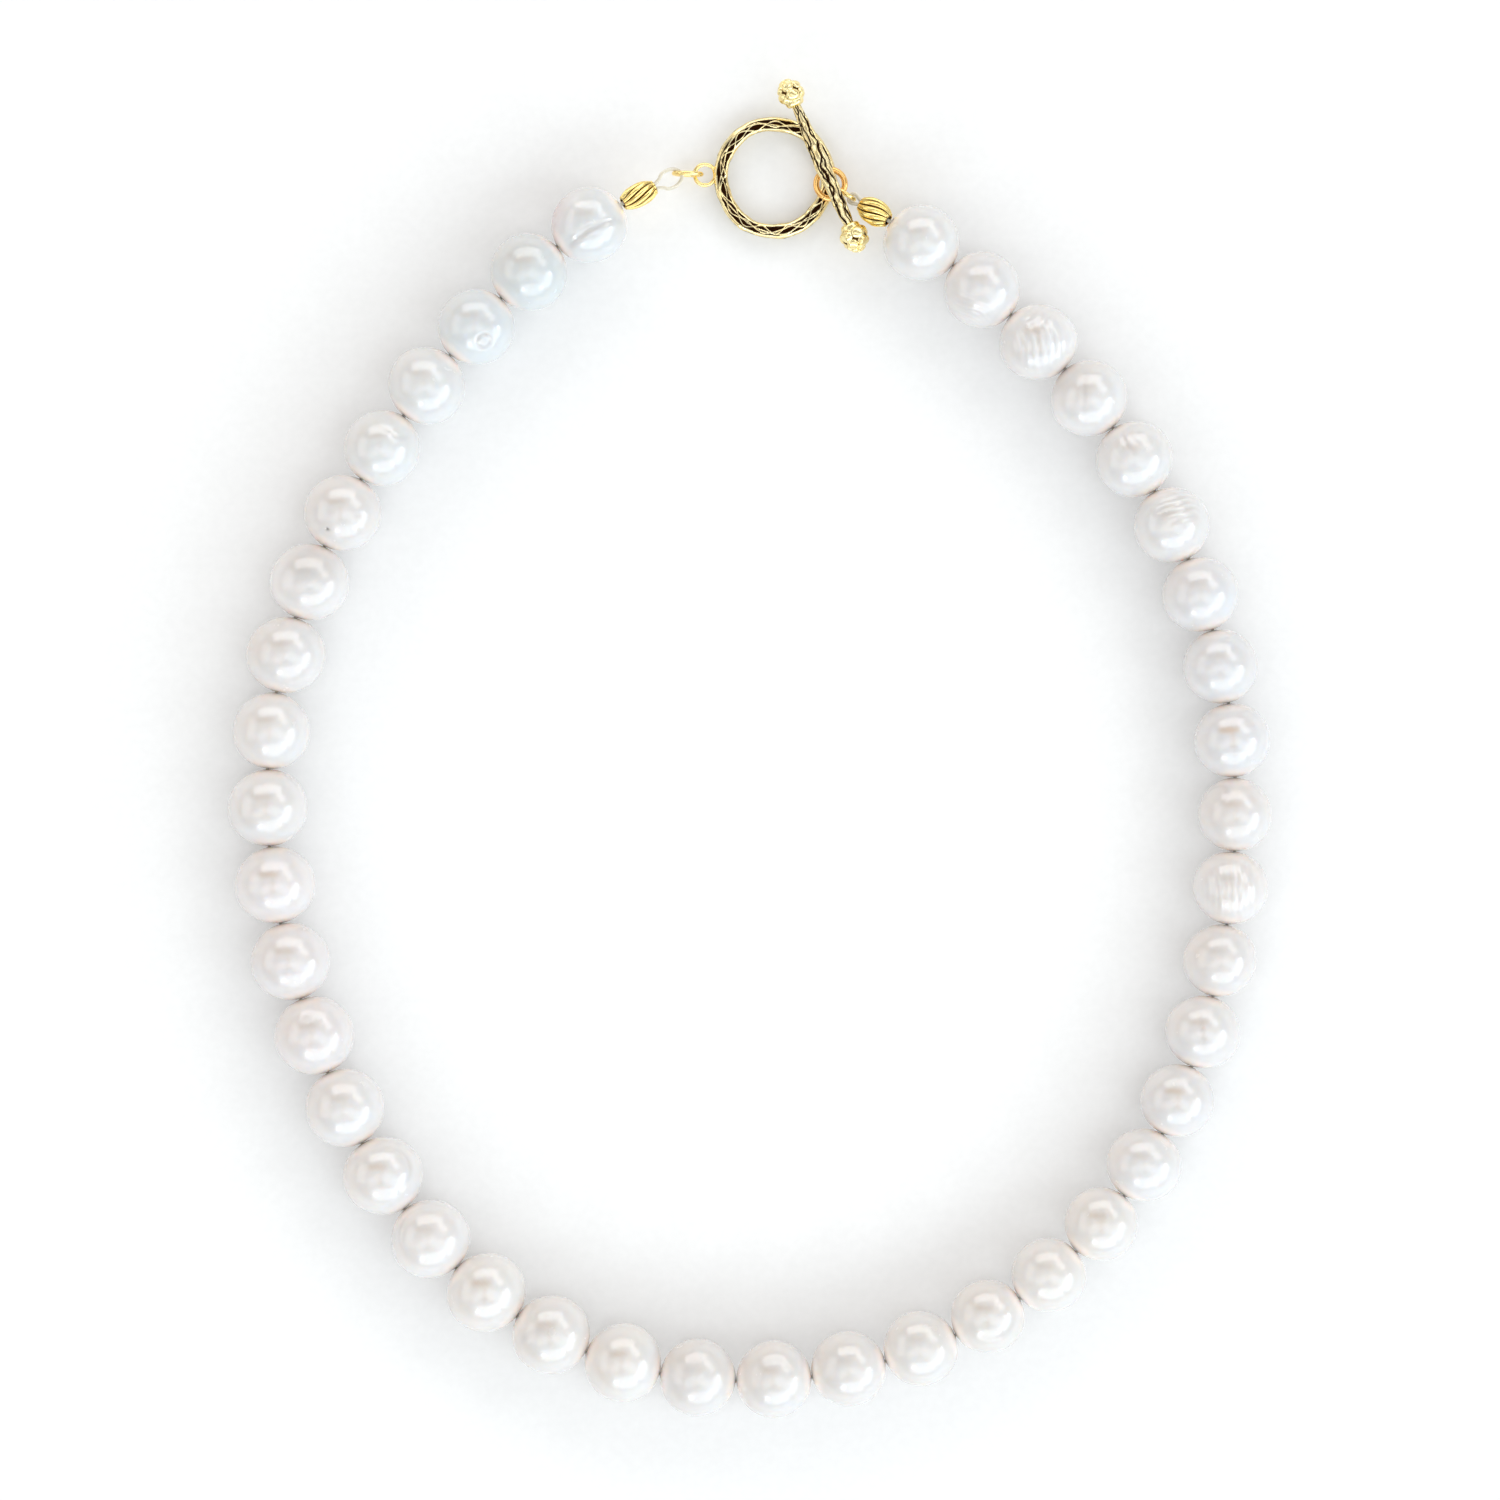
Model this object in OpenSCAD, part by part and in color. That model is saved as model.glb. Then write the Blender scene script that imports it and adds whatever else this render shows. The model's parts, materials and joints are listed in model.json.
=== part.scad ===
// Pearl necklace with a toggle clasp, laid out flat in its closed oval.
// Millimetres, +Z up, the table at z = 0, the clasp at the +Y end.

/* [Strand] */
// Width of the oval that the pearl centres follow
strand_wide = 119.7; // [117:0.1:123]
// Length of the oval that the pearl centres follow
strand_long = 149.4; // [146:0.1:153]
// Arc without pearls, left of the top of the oval
clasp_left = 15.2; // [15:0.1:17]
// Arc without pearls, right of the top of the oval
clasp_right = 20.2; // [20:0.1:22]
// How far the oval leans over to its left
strand_lean = 1.5; // [0:0.1:3]

/* [Pearls] */
// Free play between two neighbouring pearls
pearl_gap = 0.25; // [0.2:0.05:0.4]
// Drilled hole along each pearl
bore_d = 0.9; // [0.8:0.05:1]
// Width across the string over length along it
pearl_round = 1.04; // [1.02:0.01:1.05]
// Largest random change of a pearl's width
pearl_uneven = 0.18; // [0:0.02:0.2]

/* [Thread and crimps] */
// Thickness of the bead cord
thread_d = 0.5; // [0.4:0.05:0.5]
// Length of a crimp tube
crimp_long = 2; // [1.6:0.1:2.2]
// Outer diameter of a crimp tube
crimp_d = 1.8; // [1.6:0.1:1.9]
// Length of the left corrugated crimp cover
cover_left_long = 4.6; // [4.4:0.1:4.7]
// Largest diameter of the left crimp cover
cover_left_d = 3; // [2.8:0.1:3.1]
// Length of the right crimp cover, which was pressed rounder
cover_right_long = 4.3; // [4.2:0.1:4.4]
// Largest diameter of the right crimp cover
cover_right_d = 3.4; // [3.2:0.1:3.4]
// Number of flutes round a crimp cover
flute_count = 10; // [8:1:12]

/* [Links] */
// Outer diameter of the jump ring beside the toggle ring
jump_left_d = 4; // [3.9:0.05:4.1]
// Wire of the jump ring beside the toggle ring
jump_left_wire = 0.6; // [0.5:0.05:0.6]
// Outer diameter of the jump ring beside the right crimp cover
jump_right_d = 3.1; // [3.05:0.05:3.2]
// Wire of the jump ring beside the right crimp cover
jump_right_wire = 0.5; // [0.45:0.05:0.5]
// Outer diameter of the round link that holds the bar
link_d = 4.35; // [4.3:0.05:4.4]
// Wire of the round link that holds the bar
link_wire = 0.75; // [0.65:0.05:0.75]

/* [Toggle] */
// Middle diameter of the toggle ring's band
ring_d = 13.5; // [13:0.1:13.8]
// Wire of the toggle ring's eye
eye_wire = 0.5; // [0.45:0.05:0.5]
// Middle diameter of the toggle ring's eye
eye_d = 2.6; // [2.5:0.05:2.7]
// Rise of the toggle ring towards its eye
ring_tilt = 4.5; // [4:0.1:5]
// Eye of the bar to the middle of its upper bud
bar_up = 10.3; // [9.8:0.1:10.5]
// Eye of the bar to the middle of its lower bud
bar_down = 8.9; // [8.7:0.1:9.2]
// Thickest radius of the bar's shaft
shaft_r = 0.9; // [0.8:0.02:0.94]

/* [Hidden] */
pearl_count = 41;
thread_sides = 8;
clear = 0.05;
tint_seed = 40;
uneven_seed = 11;

// The oval: an egg term and two slow waves make it as uneven as a strand laid by hand.
egg = 2.6;
wave_4 = 0.67;
wave_5 = 0.77;
wave_5_turn = 24;
oval_steps = 720;

function wave(t) = wave_4 * cos(4 * t) - wave_5 * cos(5 * t - wave_5_turn);
function oval_x(t) = (strand_wide / 2 + wave(t)) * sin(t) + egg * sin(2 * t);
function oval_y(t) = -(strand_long / 2 + wave(t)) * cos(t);
function turned(p, a) = [p.x * cos(a) - p.y * sin(a), p.x * sin(a) + p.y * cos(a)];
function oval(t) = turned([oval_x(t), oval_y(t)], strand_lean);
function bearing(p) = atan2(p.y, p.x);
function ahead(a, d) = [d * cos(a), d * sin(a)];

// Arc length along the oval, from its top round by the left, against the angle there.
oval_points = [for (k = [0:oval_steps]) oval(-180 + 360 * k / oval_steps)];
oval_arcs = [
    for (k = 0, s = 0; k <= oval_steps; k = k + 1,
        s = s + (k <= oval_steps ? norm(oval_points[k] - oval_points[k - 1]) : 0)) s
];
oval_around = oval_arcs[oval_steps];
angle_of_arc = [for (k = [0:oval_steps]) [oval_arcs[k], -180 + 360 * k / oval_steps]];

// Pearls are graduated a little: each takes its share of the strung arc.
big_wave = 0.027;
big_at = 0.235;
small_wave = 0.014;
small_at = 0.39;
shares = [
    for (i = [0:pearl_count - 1])
        let (u = (i + 0.5) / pearl_count)
            1 + big_wave * cos(360 * (u - big_at)) + small_wave * cos(720 * (u - small_at))
];
share_sums = [
    for (i = 0, s = 0; i <= pearl_count;
        s = s + (i < pearl_count ? shares[i] : 0), i = i + 1) s
];
strung_arc = oval_around - clasp_left - clasp_right;
raw_gaps = [
    for (i = [0:pearl_count])
        oval(lookup(clasp_left + strung_arc * share_sums[i] / share_sums[pearl_count], angle_of_arc))
];

// Each pearl's length, width, middle and direction before the part is centred.
uneven = rands(-pearl_uneven, pearl_uneven, pearl_count, uneven_seed);
pearl_long = [for (i = [0:pearl_count - 1]) norm(raw_gaps[i + 1] - raw_gaps[i]) - pearl_gap];
pearl_wide = [for (i = [0:pearl_count - 1]) pearl_long[i] * pearl_round + uneven[i]];
pearl_turn = [for (i = [0:pearl_count - 1]) bearing(raw_gaps[i + 1] - raw_gaps[i])];
raw_middles = [for (i = [0:pearl_count - 1]) (raw_gaps[i] + raw_gaps[i + 1]) / 2];
string_z = max(pearl_wide) / 2;

// Reach of a pearl from its middle in the direction at angle a on the table.
function pearl_flat(i) = (pearl_wide[i] - pearl_long[i]) / 2;
function reach(i, a) = pearl_long[i] / 2 + pearl_flat(i) * abs(sin(a - pearl_turn[i]));

// Left end: cover and thread loop, jump ring, then the toggle ring.
left_turn = 28;
left_slope = 12;
left_tip = 8.7;
left_loop_r = 1.15;
left_chain_turn = -2;
jump_left_r = (jump_left_d - jump_left_wire) / 2;
jump_left_step = 0.85;
jump_left_drop = 0.6;
jump_left_cut = 100;
eye_stem = 2;
eye_reach = ring_d / 2 + eye_stem;
raw_left_tip = raw_gaps[0] + ahead(left_turn, left_tip * cos(left_slope));
left_tip_z = string_z - left_tip * sin(left_slope);
raw_jump_left = raw_left_tip + ahead(left_chain_turn, jump_left_step);
jump_left_z = left_tip_z - jump_left_drop;
raw_ring = raw_jump_left + ahead(left_chain_turn, jump_left_step + eye_d / 2 + eye_reach);

// Right end: cover and thread loop, small jump ring, round link, then the bar.
right_turn = 147;
right_slope = 18;
right_tip = 6.35;
right_loop_r = 0.62;
jump_right_step = 0.6;
jump_right_drop = 0.15;
link_step = 0.45;
link_drop = 0.1;
link_tilt = 4;
jump_right_cut = 80;
link_cut = 95;
bar_turn = 114;
bar_rise = 1.6;
jump_right_r = (jump_right_d - jump_right_wire) / 2;
link_r = (link_d - link_wire) / 2;
raw_right_tip = raw_gaps[pearl_count] + ahead(right_turn, right_tip * cos(right_slope));
right_tip_z = string_z - right_tip * sin(right_slope);
raw_jump_right = raw_right_tip + ahead(right_turn, jump_right_step);
jump_right_z = right_tip_z - jump_right_drop;
raw_link = raw_jump_right + ahead(right_turn, link_step + link_r * cos(link_tilt));
link_z = jump_right_z - link_drop + link_r * sin(link_tilt);
eye_on_link = bar_turn - right_turn;
eye_beside = [link_r * cos(eye_on_link) * cos(link_tilt), link_r * sin(eye_on_link)];
raw_eye = raw_link + turned(eye_beside, right_turn);
bar_eye_z = link_z + link_r * cos(eye_on_link) * sin(link_tilt);
bar_z = bar_eye_z + bar_rise;

// The bar's two buds as balls: along the bar, across it, up, radius.
bud_core = 1.45;
bud_half = 0.6;
petal_count = 5;
petal_r = 0.95;
petal_out = 0.75;
petal_back = 0.2;
tip_count = 3;
tip_r = 0.8;
tip_out = 0.45;
tip_ahead = 1;
lower_bud = 1.06;
bud_balls = [
    [-bud_half, 0, 0, bud_core],
    [bud_half, 0, 0, bud_core],
    for (k = [0:petal_count - 1])
        let (a = 360 * k / petal_count)
            [-petal_back, petal_out * cos(a), petal_out * sin(a), petal_r],
    for (k = [0:tip_count - 1])
        let (a = 360 * k / tip_count)
            [tip_ahead, tip_out * cos(a), tip_out * sin(a), tip_r]
];

// The part is centred on the table under the middle of its own bounding box.
pearls = [0:pearl_count - 1];
x_low = min([for (i = pearls) raw_middles[i].x - reach(i, 180)]);
x_high = max([for (i = pearls) raw_middles[i].x + reach(i, 0)]);
y_low = min([for (i = pearls) raw_middles[i].y - reach(i, -90)]);
y_high = max([
    for (b = bud_balls) (raw_eye + turned([bar_up + b[0], b[1]], bar_turn)).y + b[3]
]);
middle = [(x_low + x_high) / 2, (y_low + y_high) / 2];
gap_points = [for (p = raw_gaps) p - middle];
pearl_middles = [for (p = raw_middles) p - middle];

function at(p, z) = [p.x - middle.x, p.y - middle.y, z];

left_end = at(raw_gaps[0], string_z);
jump_left_at = at(raw_jump_left, jump_left_z);
right_end = at(raw_gaps[pearl_count], string_z);
jump_right_at = at(raw_jump_right, jump_right_z);
link_at = at(raw_link, link_z);
bar_at = at(raw_eye, bar_z);

// The toggle ring's band is two strands side by side, its lowest point on the table.
strand_in_r = 0.62;
strand_out_r = 0.58;
strand_apart = 0.36;
strand_lift = 0.1;
ring_in = ring_d / 2 - strand_apart / 2;
ring_out = ring_d / 2 + strand_apart / 2;
ring_z = max(
    ring_in * sin(ring_tilt) + strand_in_r - strand_lift * cos(ring_tilt),
    ring_out * sin(ring_tilt) + strand_out_r + strand_lift * cos(ring_tilt)
);
ring_at = at(raw_ring, ring_z);

// Crimp cover: a spindle that begins at cover_start along its string, cut off square at both ends.
cover_start = 0.3;
cover_hole_r = 0.62;
cover_cut = 0.25;
function cover_middle(long) = cover_start + long / 2;
function cover_arc(long, wide) = ((long / 2 + cover_cut) ^ 2 + (wide / 2) ^ 2) / wide;
flute_r = 0.36;
flute_depth = 0.22;
seam = 0.15;
crimp_wall = 0.3;

// The thread's two legs lie side by side in a crimp.
leg_apart = 0.28;
leg_spare = 0.1;
loop_open = 130;
loop_steps = 10;

function leg_in(long) = cover_middle(long) - crimp_long / 2 - leg_spare;
function leg_out(long) = cover_start + long - 2 * leg_spare;
function loop_path(long, tip, r) = [
    [leg_in(long), -leg_apart],
    [leg_out(long), -leg_apart],
    for (k = [0:loop_steps])
        let (a = -loop_open + 2 * loop_open * k / loop_steps) [tip - r + r * cos(a), r * sin(a)],
    [leg_out(long), leg_apart],
    [leg_in(long), leg_apart]
];
function along_string(p, turn, slope) = [
    p.x * cos(slope) * cos(turn) - p.y * sin(turn),
    p.x * cos(slope) * sin(turn) + p.y * cos(turn),
    -p.x * sin(slope)
];
function backwards(v) = [for (i = [len(v) - 1:-1:0]) v[i]];

left_loop = [
    for (p = loop_path(cover_left_long, left_tip, left_loop_r))
        left_end + along_string(p, left_turn, left_slope)
];
right_loop = [
    for (p = loop_path(cover_right_long, right_tip, right_loop_r))
        right_end + along_string(p, right_turn, right_slope)
];
thread_path = concat(
    left_loop,
    [for (p = gap_points) [p.x, p.y, string_z]],
    backwards(right_loop)
);

pearl_names = [for (i = [1:pearl_count]) str("pearl_", i < 10 ? "0" : "", i)];

// A round wire ring about Z.
module wire_ring(r, wire) {
    rotate_extrude($fn = 96) translate([r, 0]) circle(d = wire, $fn = 48);
}

// The same, with the fine saw cut at which a jump ring is opened.
module split_ring(r, wire, cut_turn) {
    saw = 0.06;
    difference() {
        wire_ring(r, wire);
        rotate(cut_turn) translate([r, 0, 0]) cube([2 * wire, saw, 2 * wire], center = true);
    }
}

// Sets +Z along a string end that leaves at an angle and slopes down.
module along(turn, slope) {
    rotate([0, 0, turn]) rotate([0, 90 + slope, 0]) children();
}

module pearl(i) {
    half = pearl_long[i] / 2;
    tint = rands(0, 1, 3, tint_seed + i);
    color([0.93 + 0.03 * tint[0], 0.9 + 0.03 * tint[1], 0.87 + 0.06 * tint[2]])
        translate([pearl_middles[i].x, pearl_middles[i].y, string_z])
            along(pearl_turn[i], 0)
                rotate_extrude($fn = 96)
                    intersection() {
                        translate([pearl_flat(i), 0]) circle(r = half, $fn = 128);
                        translate([bore_d / 2, -half]) square([2 * half, 2 * half]);
                    }
}

module beading_thread() {
    n = len(thread_path);
    up = [0, 0, 1];
    rings = [
        for (i = [0:n - 1])
            let (
                before = thread_path[max(i - 1, 0)],
                after = thread_path[min(i + 1, n - 1)],
                run = (after - before) / norm(after - before),
                side = cross(up, run) / norm(cross(up, run)),
                top = cross(run, side)
            )
                for (k = [0:thread_sides - 1])
                    let (a = 360 * k / thread_sides)
                        thread_path[i] + thread_d / 2 * (cos(a) * side + sin(a) * top)
    ];
    walls = [
        for (i = [0:n - 2], k = [0:thread_sides - 1])
            let (next = (k + 1) % thread_sides, a = i * thread_sides, b = a + thread_sides)
                [a + k, b + k, b + next, a + next]
    ];
    start_cap = [for (k = [0:thread_sides - 1]) k];
    end_cap = [for (k = [0:thread_sides - 1]) n * thread_sides - 1 - k];
    color("ivory") polyhedron(rings, concat(walls, [start_cap, end_cap]), convexity = 12);
}

module crimp_tube(end, turn, slope, cover_long) {
    color("gold")
        translate(end)
            along(turn, slope)
                translate([0, 0, cover_middle(cover_long)])
                    difference() {
                        cylinder(h = crimp_long, d = crimp_d, center = true, $fn = 64);
                        cylinder(h = 2 * crimp_long, d = crimp_d - 2 * crimp_wall, center = true, $fn = 64);
                    }
}

// Spindle profile: an arc that bulges out to the largest radius.
module cover_outline(long, wide) {
    arc = cover_arc(long, wide);
    intersection() {
        translate([wide / 2 - arc, 0]) circle(r = arc, $fn = 192);
        translate([cover_hole_r, -long / 2]) square([wide, long]);
    }
}

// The room inside a cover for its crimp tube.
module crimp_room() {
    cylinder(h = crimp_long + 2 * clear, d = crimp_d + 2 * clear, center = true, $fn = 64);
}

module crimp_cover(end, turn, slope, long, wide) {
    color("goldenrod")
        translate(end)
            along(turn, slope)
                translate([0, 0, cover_middle(long)])
                    difference() {
                        rotate_extrude($fn = 96) cover_outline(long, wide);
                        crimp_room();
                        for (k = [0:flute_count - 1])
                            rotate((k + 0.5) * 360 / flute_count)
                                translate([wide / 2 + flute_r - flute_depth, 0, 0])
                                    cylinder(h = long, r = flute_r, center = true, $fn = 32);
                        translate([0, -seam / 2, -long]) cube([wide, seam, 2 * long]);
                    }
}

module jump_ring_left() {
    color("gold")
        translate(jump_left_at)
            rotate([90, 0, left_chain_turn]) split_ring(jump_left_r, jump_left_wire, jump_left_cut);
}

module jump_ring_right() {
    color("gold")
        translate(jump_right_at)
            rotate([90, 0, right_turn]) split_ring(jump_right_r, jump_right_wire, jump_right_cut);
}

module bar_link() {
    color("orange")
        translate(link_at)
            rotate([0, 0, right_turn])
                rotate([0, -link_tilt, 0]) split_ring(link_r, link_wire, link_cut);
}

module toggle_ring() {
    color("gold")
        translate(ring_at)
            rotate([0, 0, left_chain_turn])
                rotate([0, ring_tilt, 0]) {
                    translate([0, 0, strand_lift]) wire_ring(ring_in, 2 * strand_in_r);
                    translate([0, 0, -strand_lift]) wire_ring(ring_out, 2 * strand_out_r);
                    translate([-eye_reach, 0, 0]) wire_ring(eye_d / 2, eye_wire);
                }
}

// Half of the shaft, from its thickest place at the eye to a bud, with grooves along it.
module half_shaft(long, tip_radius) {
    groove_r = 0.13;
    groove_count = 6;
    groove_start = 0.8;
    groove_turn = 30;
    taper = atan((shaft_r - tip_radius) / long);
    difference() {
        cylinder(h = long, r1 = shaft_r, r2 = tip_radius, $fn = 64);
        for (k = [0:groove_count - 1])
            rotate(groove_turn + k * 360 / groove_count)
                translate([shaft_r, 0, 0])
                    rotate([0, -taper, 0])
                        translate([0, 0, groove_start]) cylinder(h = long, r = groove_r, $fn = 24);
    }
}

module bud(size) {
    for (b = bud_balls)
        translate(size * [b[0], b[1], b[2]]) sphere(r = size * b[3], $fn = 64);
}

module toggle_bar() {
    bar_eye_r = 0.85;
    bar_eye_wire = 0.6;
    top_r = 0.42;
    low_r = 0.5;
    color("gold")
        translate(bar_at)
            rotate([0, 0, bar_turn]) {
                rotate([0, 90, 0]) half_shaft(bar_up, top_r);
                rotate([0, -90, 0]) half_shaft(bar_down, low_r);
                translate([bar_up, 0, 0]) bud(1);
                translate([-bar_down, 0, 0]) rotate([0, 0, 180]) bud(lower_bud);
                translate([0, 0, -bar_rise]) rotate([90, 0, 0]) wire_ring(bar_eye_r, bar_eye_wire);
            }
}

for (i = [0:pearl_count - 1]) {
    pearl(i);
}
beading_thread();
crimp_tube(left_end, left_turn, left_slope, cover_left_long);  // crimp_tube_left
crimp_tube(right_end, right_turn, right_slope, cover_right_long);  // crimp_tube_right
crimp_cover(left_end, left_turn, left_slope, cover_left_long, cover_left_d);  // crimp_cover_left
crimp_cover(right_end, right_turn, right_slope, cover_right_long, cover_right_d);  // crimp_cover_right
jump_ring_left();
jump_ring_right();
bar_link();
toggle_ring();
toggle_bar();
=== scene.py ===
"""A pearl necklace with a gold toggle clasp, closed and laid out flat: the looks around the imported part.

Everything is in metres in the part's own frame: +Z up, the table at z = 0, the clasp at the +Y end.
"""

import json
import math
import random

import bmesh
import bpy
import numpy as np
from mathutils import Matrix, Vector


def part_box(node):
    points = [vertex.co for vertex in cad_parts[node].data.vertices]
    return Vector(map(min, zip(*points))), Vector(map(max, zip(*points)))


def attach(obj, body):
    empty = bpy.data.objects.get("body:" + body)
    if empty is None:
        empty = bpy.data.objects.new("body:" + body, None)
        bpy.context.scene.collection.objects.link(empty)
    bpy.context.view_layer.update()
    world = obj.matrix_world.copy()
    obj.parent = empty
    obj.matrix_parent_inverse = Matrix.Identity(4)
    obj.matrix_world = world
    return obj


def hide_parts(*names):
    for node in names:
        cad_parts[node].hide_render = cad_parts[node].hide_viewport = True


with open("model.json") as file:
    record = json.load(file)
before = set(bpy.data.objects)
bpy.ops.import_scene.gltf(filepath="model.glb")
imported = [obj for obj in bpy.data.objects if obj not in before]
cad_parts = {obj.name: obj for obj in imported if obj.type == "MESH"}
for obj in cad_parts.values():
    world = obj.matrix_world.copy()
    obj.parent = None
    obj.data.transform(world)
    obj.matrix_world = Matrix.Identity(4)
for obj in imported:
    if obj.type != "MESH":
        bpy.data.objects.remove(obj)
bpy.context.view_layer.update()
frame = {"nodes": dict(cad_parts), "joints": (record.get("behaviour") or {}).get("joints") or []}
joints = {j["name"]: j for j in frame["joints"]}
MM = 0.001
UP = np.array([0.0, 0.0, 1.0])

# ---------------------------------------------------------------- camera

# VIEW_WIDTH is what the picture spans at the height of the pearls' middles.
VIEW_WIDTH = 187.5 * MM
PEARL_MIDDLE = 5 * MM
CAMERA_HEIGHT = 1.2
SENSOR = 36.0
LOOK_AT = (-0.05 * MM, -0.2 * MM)

camera_data = bpy.data.cameras.new("camera")
camera_data.sensor_width = SENSOR
camera_data.lens = SENSOR * (CAMERA_HEIGHT - PEARL_MIDDLE) / VIEW_WIDTH
camera = bpy.data.objects.new("camera", camera_data)
camera.location = (*LOOK_AT, CAMERA_HEIGHT)
bpy.context.scene.collection.objects.link(camera)
bpy.context.scene.camera = camera


# ---------------------------------------------------------------- light

def softbox(name, toward, distance, size, radiance, colour):
    """A rectangular lamp that stands in the direction toward, of that radiance, and faces the middle."""
    data = bpy.data.lights.new(name, "AREA")
    data.shape = "RECTANGLE"
    data.size, data.size_y = size
    data.energy = radiance * math.pi * size[0] * size[1]
    data.color = colour
    lamp = bpy.data.objects.new(name, data)
    lamp.location = Vector(toward).normalized() * distance
    lamp.rotation_mode = "QUATERNION"
    lamp.rotation_quaternion = lamp.location.to_track_quat("Z", "Y")
    bpy.context.scene.collection.objects.link(lamp)


DAYLIGHT = (0.87, 0.95, 1.0)
NEUTRAL = (1.0, 1.0, 0.99)
ROOM, ROOM_STRENGTH = (1.0, 0.97, 0.94, 1), 0.48
softbox("back", (-0.05, 1.0, 0.50), 1.6, (2.0, 0.85), 1.85, NEUTRAL)
softbox("fill_left", (-1.0, 0.10, 0.50), 1.6, (1.5, 0.85), 0.95, NEUTRAL)
softbox("over_left", (-0.37, -0.22, 1.0), 1.84, (0.72, 1.6), 0.85, NEUTRAL)
softbox("over_right", (0.40, -0.22, 1.0), 1.86, (0.84, 1.6), 1.05, DAYLIGHT)
softbox("over_back_right", (0.62, 0.56, 0.66), 1.7, (0.9, 0.6), 1.7, NEUTRAL)
softbox("window_front", (0.10, -1.0, 0.58), 1.6, (1.9, 1.1), 1.75, DAYLIGHT)
softbox("window_right", (1.0, -0.42, 0.52), 1.6, (1.2, 0.9), 2.2, DAYLIGHT)
softbox("lamp_low_left", (-0.30, -0.82, 0.46), 1.45, (0.18, 0.20), 9.0, DAYLIGHT)
softbox("lamp_low_right", (0.54, -0.70, 0.45), 1.45, (0.20, 0.20), 9.0, DAYLIGHT)
softbox("lamp_right", (0.92, 0.0, 0.38), 1.45, (0.16, 0.22), 6.0, DAYLIGHT)

world = bpy.data.worlds.new("world")
world.use_nodes = True
background = world.node_tree.nodes["Background"]
background.inputs["Color"].default_value = ROOM
background.inputs["Strength"].default_value = ROOM_STRENGTH
bpy.context.scene.world = world
bpy.context.scene.view_settings.view_transform = "Standard"


# ---------------------------------------------------------------- materials

# A Mix node's colour sockets share their names with its other sockets, so they go by place.
MIX_FACTOR, MIX_A, MIX_B, MIX_RESULT = 0, 6, 7, 2


class Shader:
    """One Principled material, with short calls for the nodes that feed it."""

    def __init__(self, name, **values):
        self.material = bpy.data.materials.new(name)
        self.material.use_nodes = True
        self.nodes = self.material.node_tree.nodes
        self.links = self.material.node_tree.links
        self.principled = self.nodes["Principled BSDF"]
        for key, value in values.items():
            socket = key.replace("_", " ").title().replace("Ior", "IOR")
            self.principled.inputs[socket].default_value = value

    def feed(self, socket, value):
        """Links a node's output to a socket, or sets the socket to a constant."""
        if isinstance(value, bpy.types.NodeSocket):
            self.links.new(value, socket)
        else:
            socket.default_value = value

    def link(self, source, socket):
        self.links.new(source, self.principled.inputs[socket])

    def node(self, kind, **inputs):
        made = self.nodes.new(kind)
        for key, value in inputs.items():
            self.feed(made.inputs[key], value)
        return made

    def attribute(self, name, output="Fac"):
        made = self.nodes.new("ShaderNodeAttribute")
        made.attribute_name = name
        return made.outputs[output]

    def place(self):
        return self.nodes.new("ShaderNodeTexCoord").outputs["Object"]

    def noise(self, vector, scale, detail=4.0, rough=0.5, twist=0.0):
        return self.node(
            "ShaderNodeTexNoise",
            Vector=vector, Scale=scale, Detail=detail, Roughness=rough, Distortion=twist,
        ).outputs["Fac"]

    def ramp(self, value, low, high, out_low=0.0, out_high=1.0):
        made = self.nodes.new("ShaderNodeMapRange")
        made.interpolation_type = "SMOOTHSTEP"
        self.links.new(value, made.inputs["Value"])
        limits = {"From Min": low, "From Max": high, "To Min": out_low, "To Max": out_high}
        for key, number in limits.items():
            made.inputs[key].default_value = number
        return made.outputs["Result"]

    def maths(self, operation, a, b):
        made = self.nodes.new("ShaderNodeMath")
        made.operation = operation
        for socket, value in zip(made.inputs, (a, b)):
            self.feed(socket, value)
        return made.outputs["Value"]

    def mix(self, factor, a, b, blend="MIX"):
        made = self.nodes.new("ShaderNodeMix")
        made.data_type = "RGBA"
        made.blend_type = blend
        for place, value in ((MIX_FACTOR, factor), (MIX_A, a), (MIX_B, b)):
            self.feed(made.inputs[place], value)
        return made.outputs[MIX_RESULT]

    def bump(self, height, distance, strength=1.0, normal=None):
        made = self.node("ShaderNodeBump", Height=height, Distance=distance, Strength=strength)
        if normal is not None:
            self.links.new(normal, made.inputs["Normal"])
        return made.outputs["Normal"]


def nacre_material():
    """Nacre: the body colour painted on each pearl, with painted light and shade in it, cloudy under a clear
    lustrous skin.
    """
    s = Shader(
        "nacre", ior=1.72, coat_weight=0.7, coat_roughness=0.15, coat_ior=1.55,
        subsurface_weight=0.8, subsurface_radius=(1.0, 0.78, 0.6), subsurface_scale=2.5 * MM,
    )
    place = s.place()
    cloud = s.ramp(s.noise(place, 260.0, 3.0, 0.55, 0.4), 0.35, 0.68)
    growth = s.ramp(s.noise(place, 900.0, 5.0, 0.6, 1.1), 0.4, 0.7)
    tint = s.attribute("tint", "Color")
    body = s.mix(s.maths("MULTIPLY", cloud, 0.5), tint, s.mix(1.0, tint, (1.0, 0.965, 0.93, 1), "MULTIPLY"))
    body = s.mix(s.maths("MULTIPLY", growth, 0.18), body, s.mix(1.0, tint, (0.93, 0.96, 1.0, 1), "MULTIPLY"))
    # Painted shade: dark in pearl_06's pinhole and partly on every bore's walls.
    pit = s.attribute("pit")
    s.link(s.mix(pit, body, (0.24, 0.22, 0.2, 1)), "Base Color")
    s.link(s.ramp(s.noise(place, 420.0, 4.0, 0.6), 0.3, 0.75, 0.16, 0.28), "Roughness")
    skin = s.bump(s.noise(place, 520.0, 2.0, 0.4), 0.05 * MM, 0.35)
    s.link(s.bump(s.noise(place, 3200.0, 3.0, 0.55), 0.01 * MM, 0.3, skin), "Normal")
    return s.material


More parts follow.
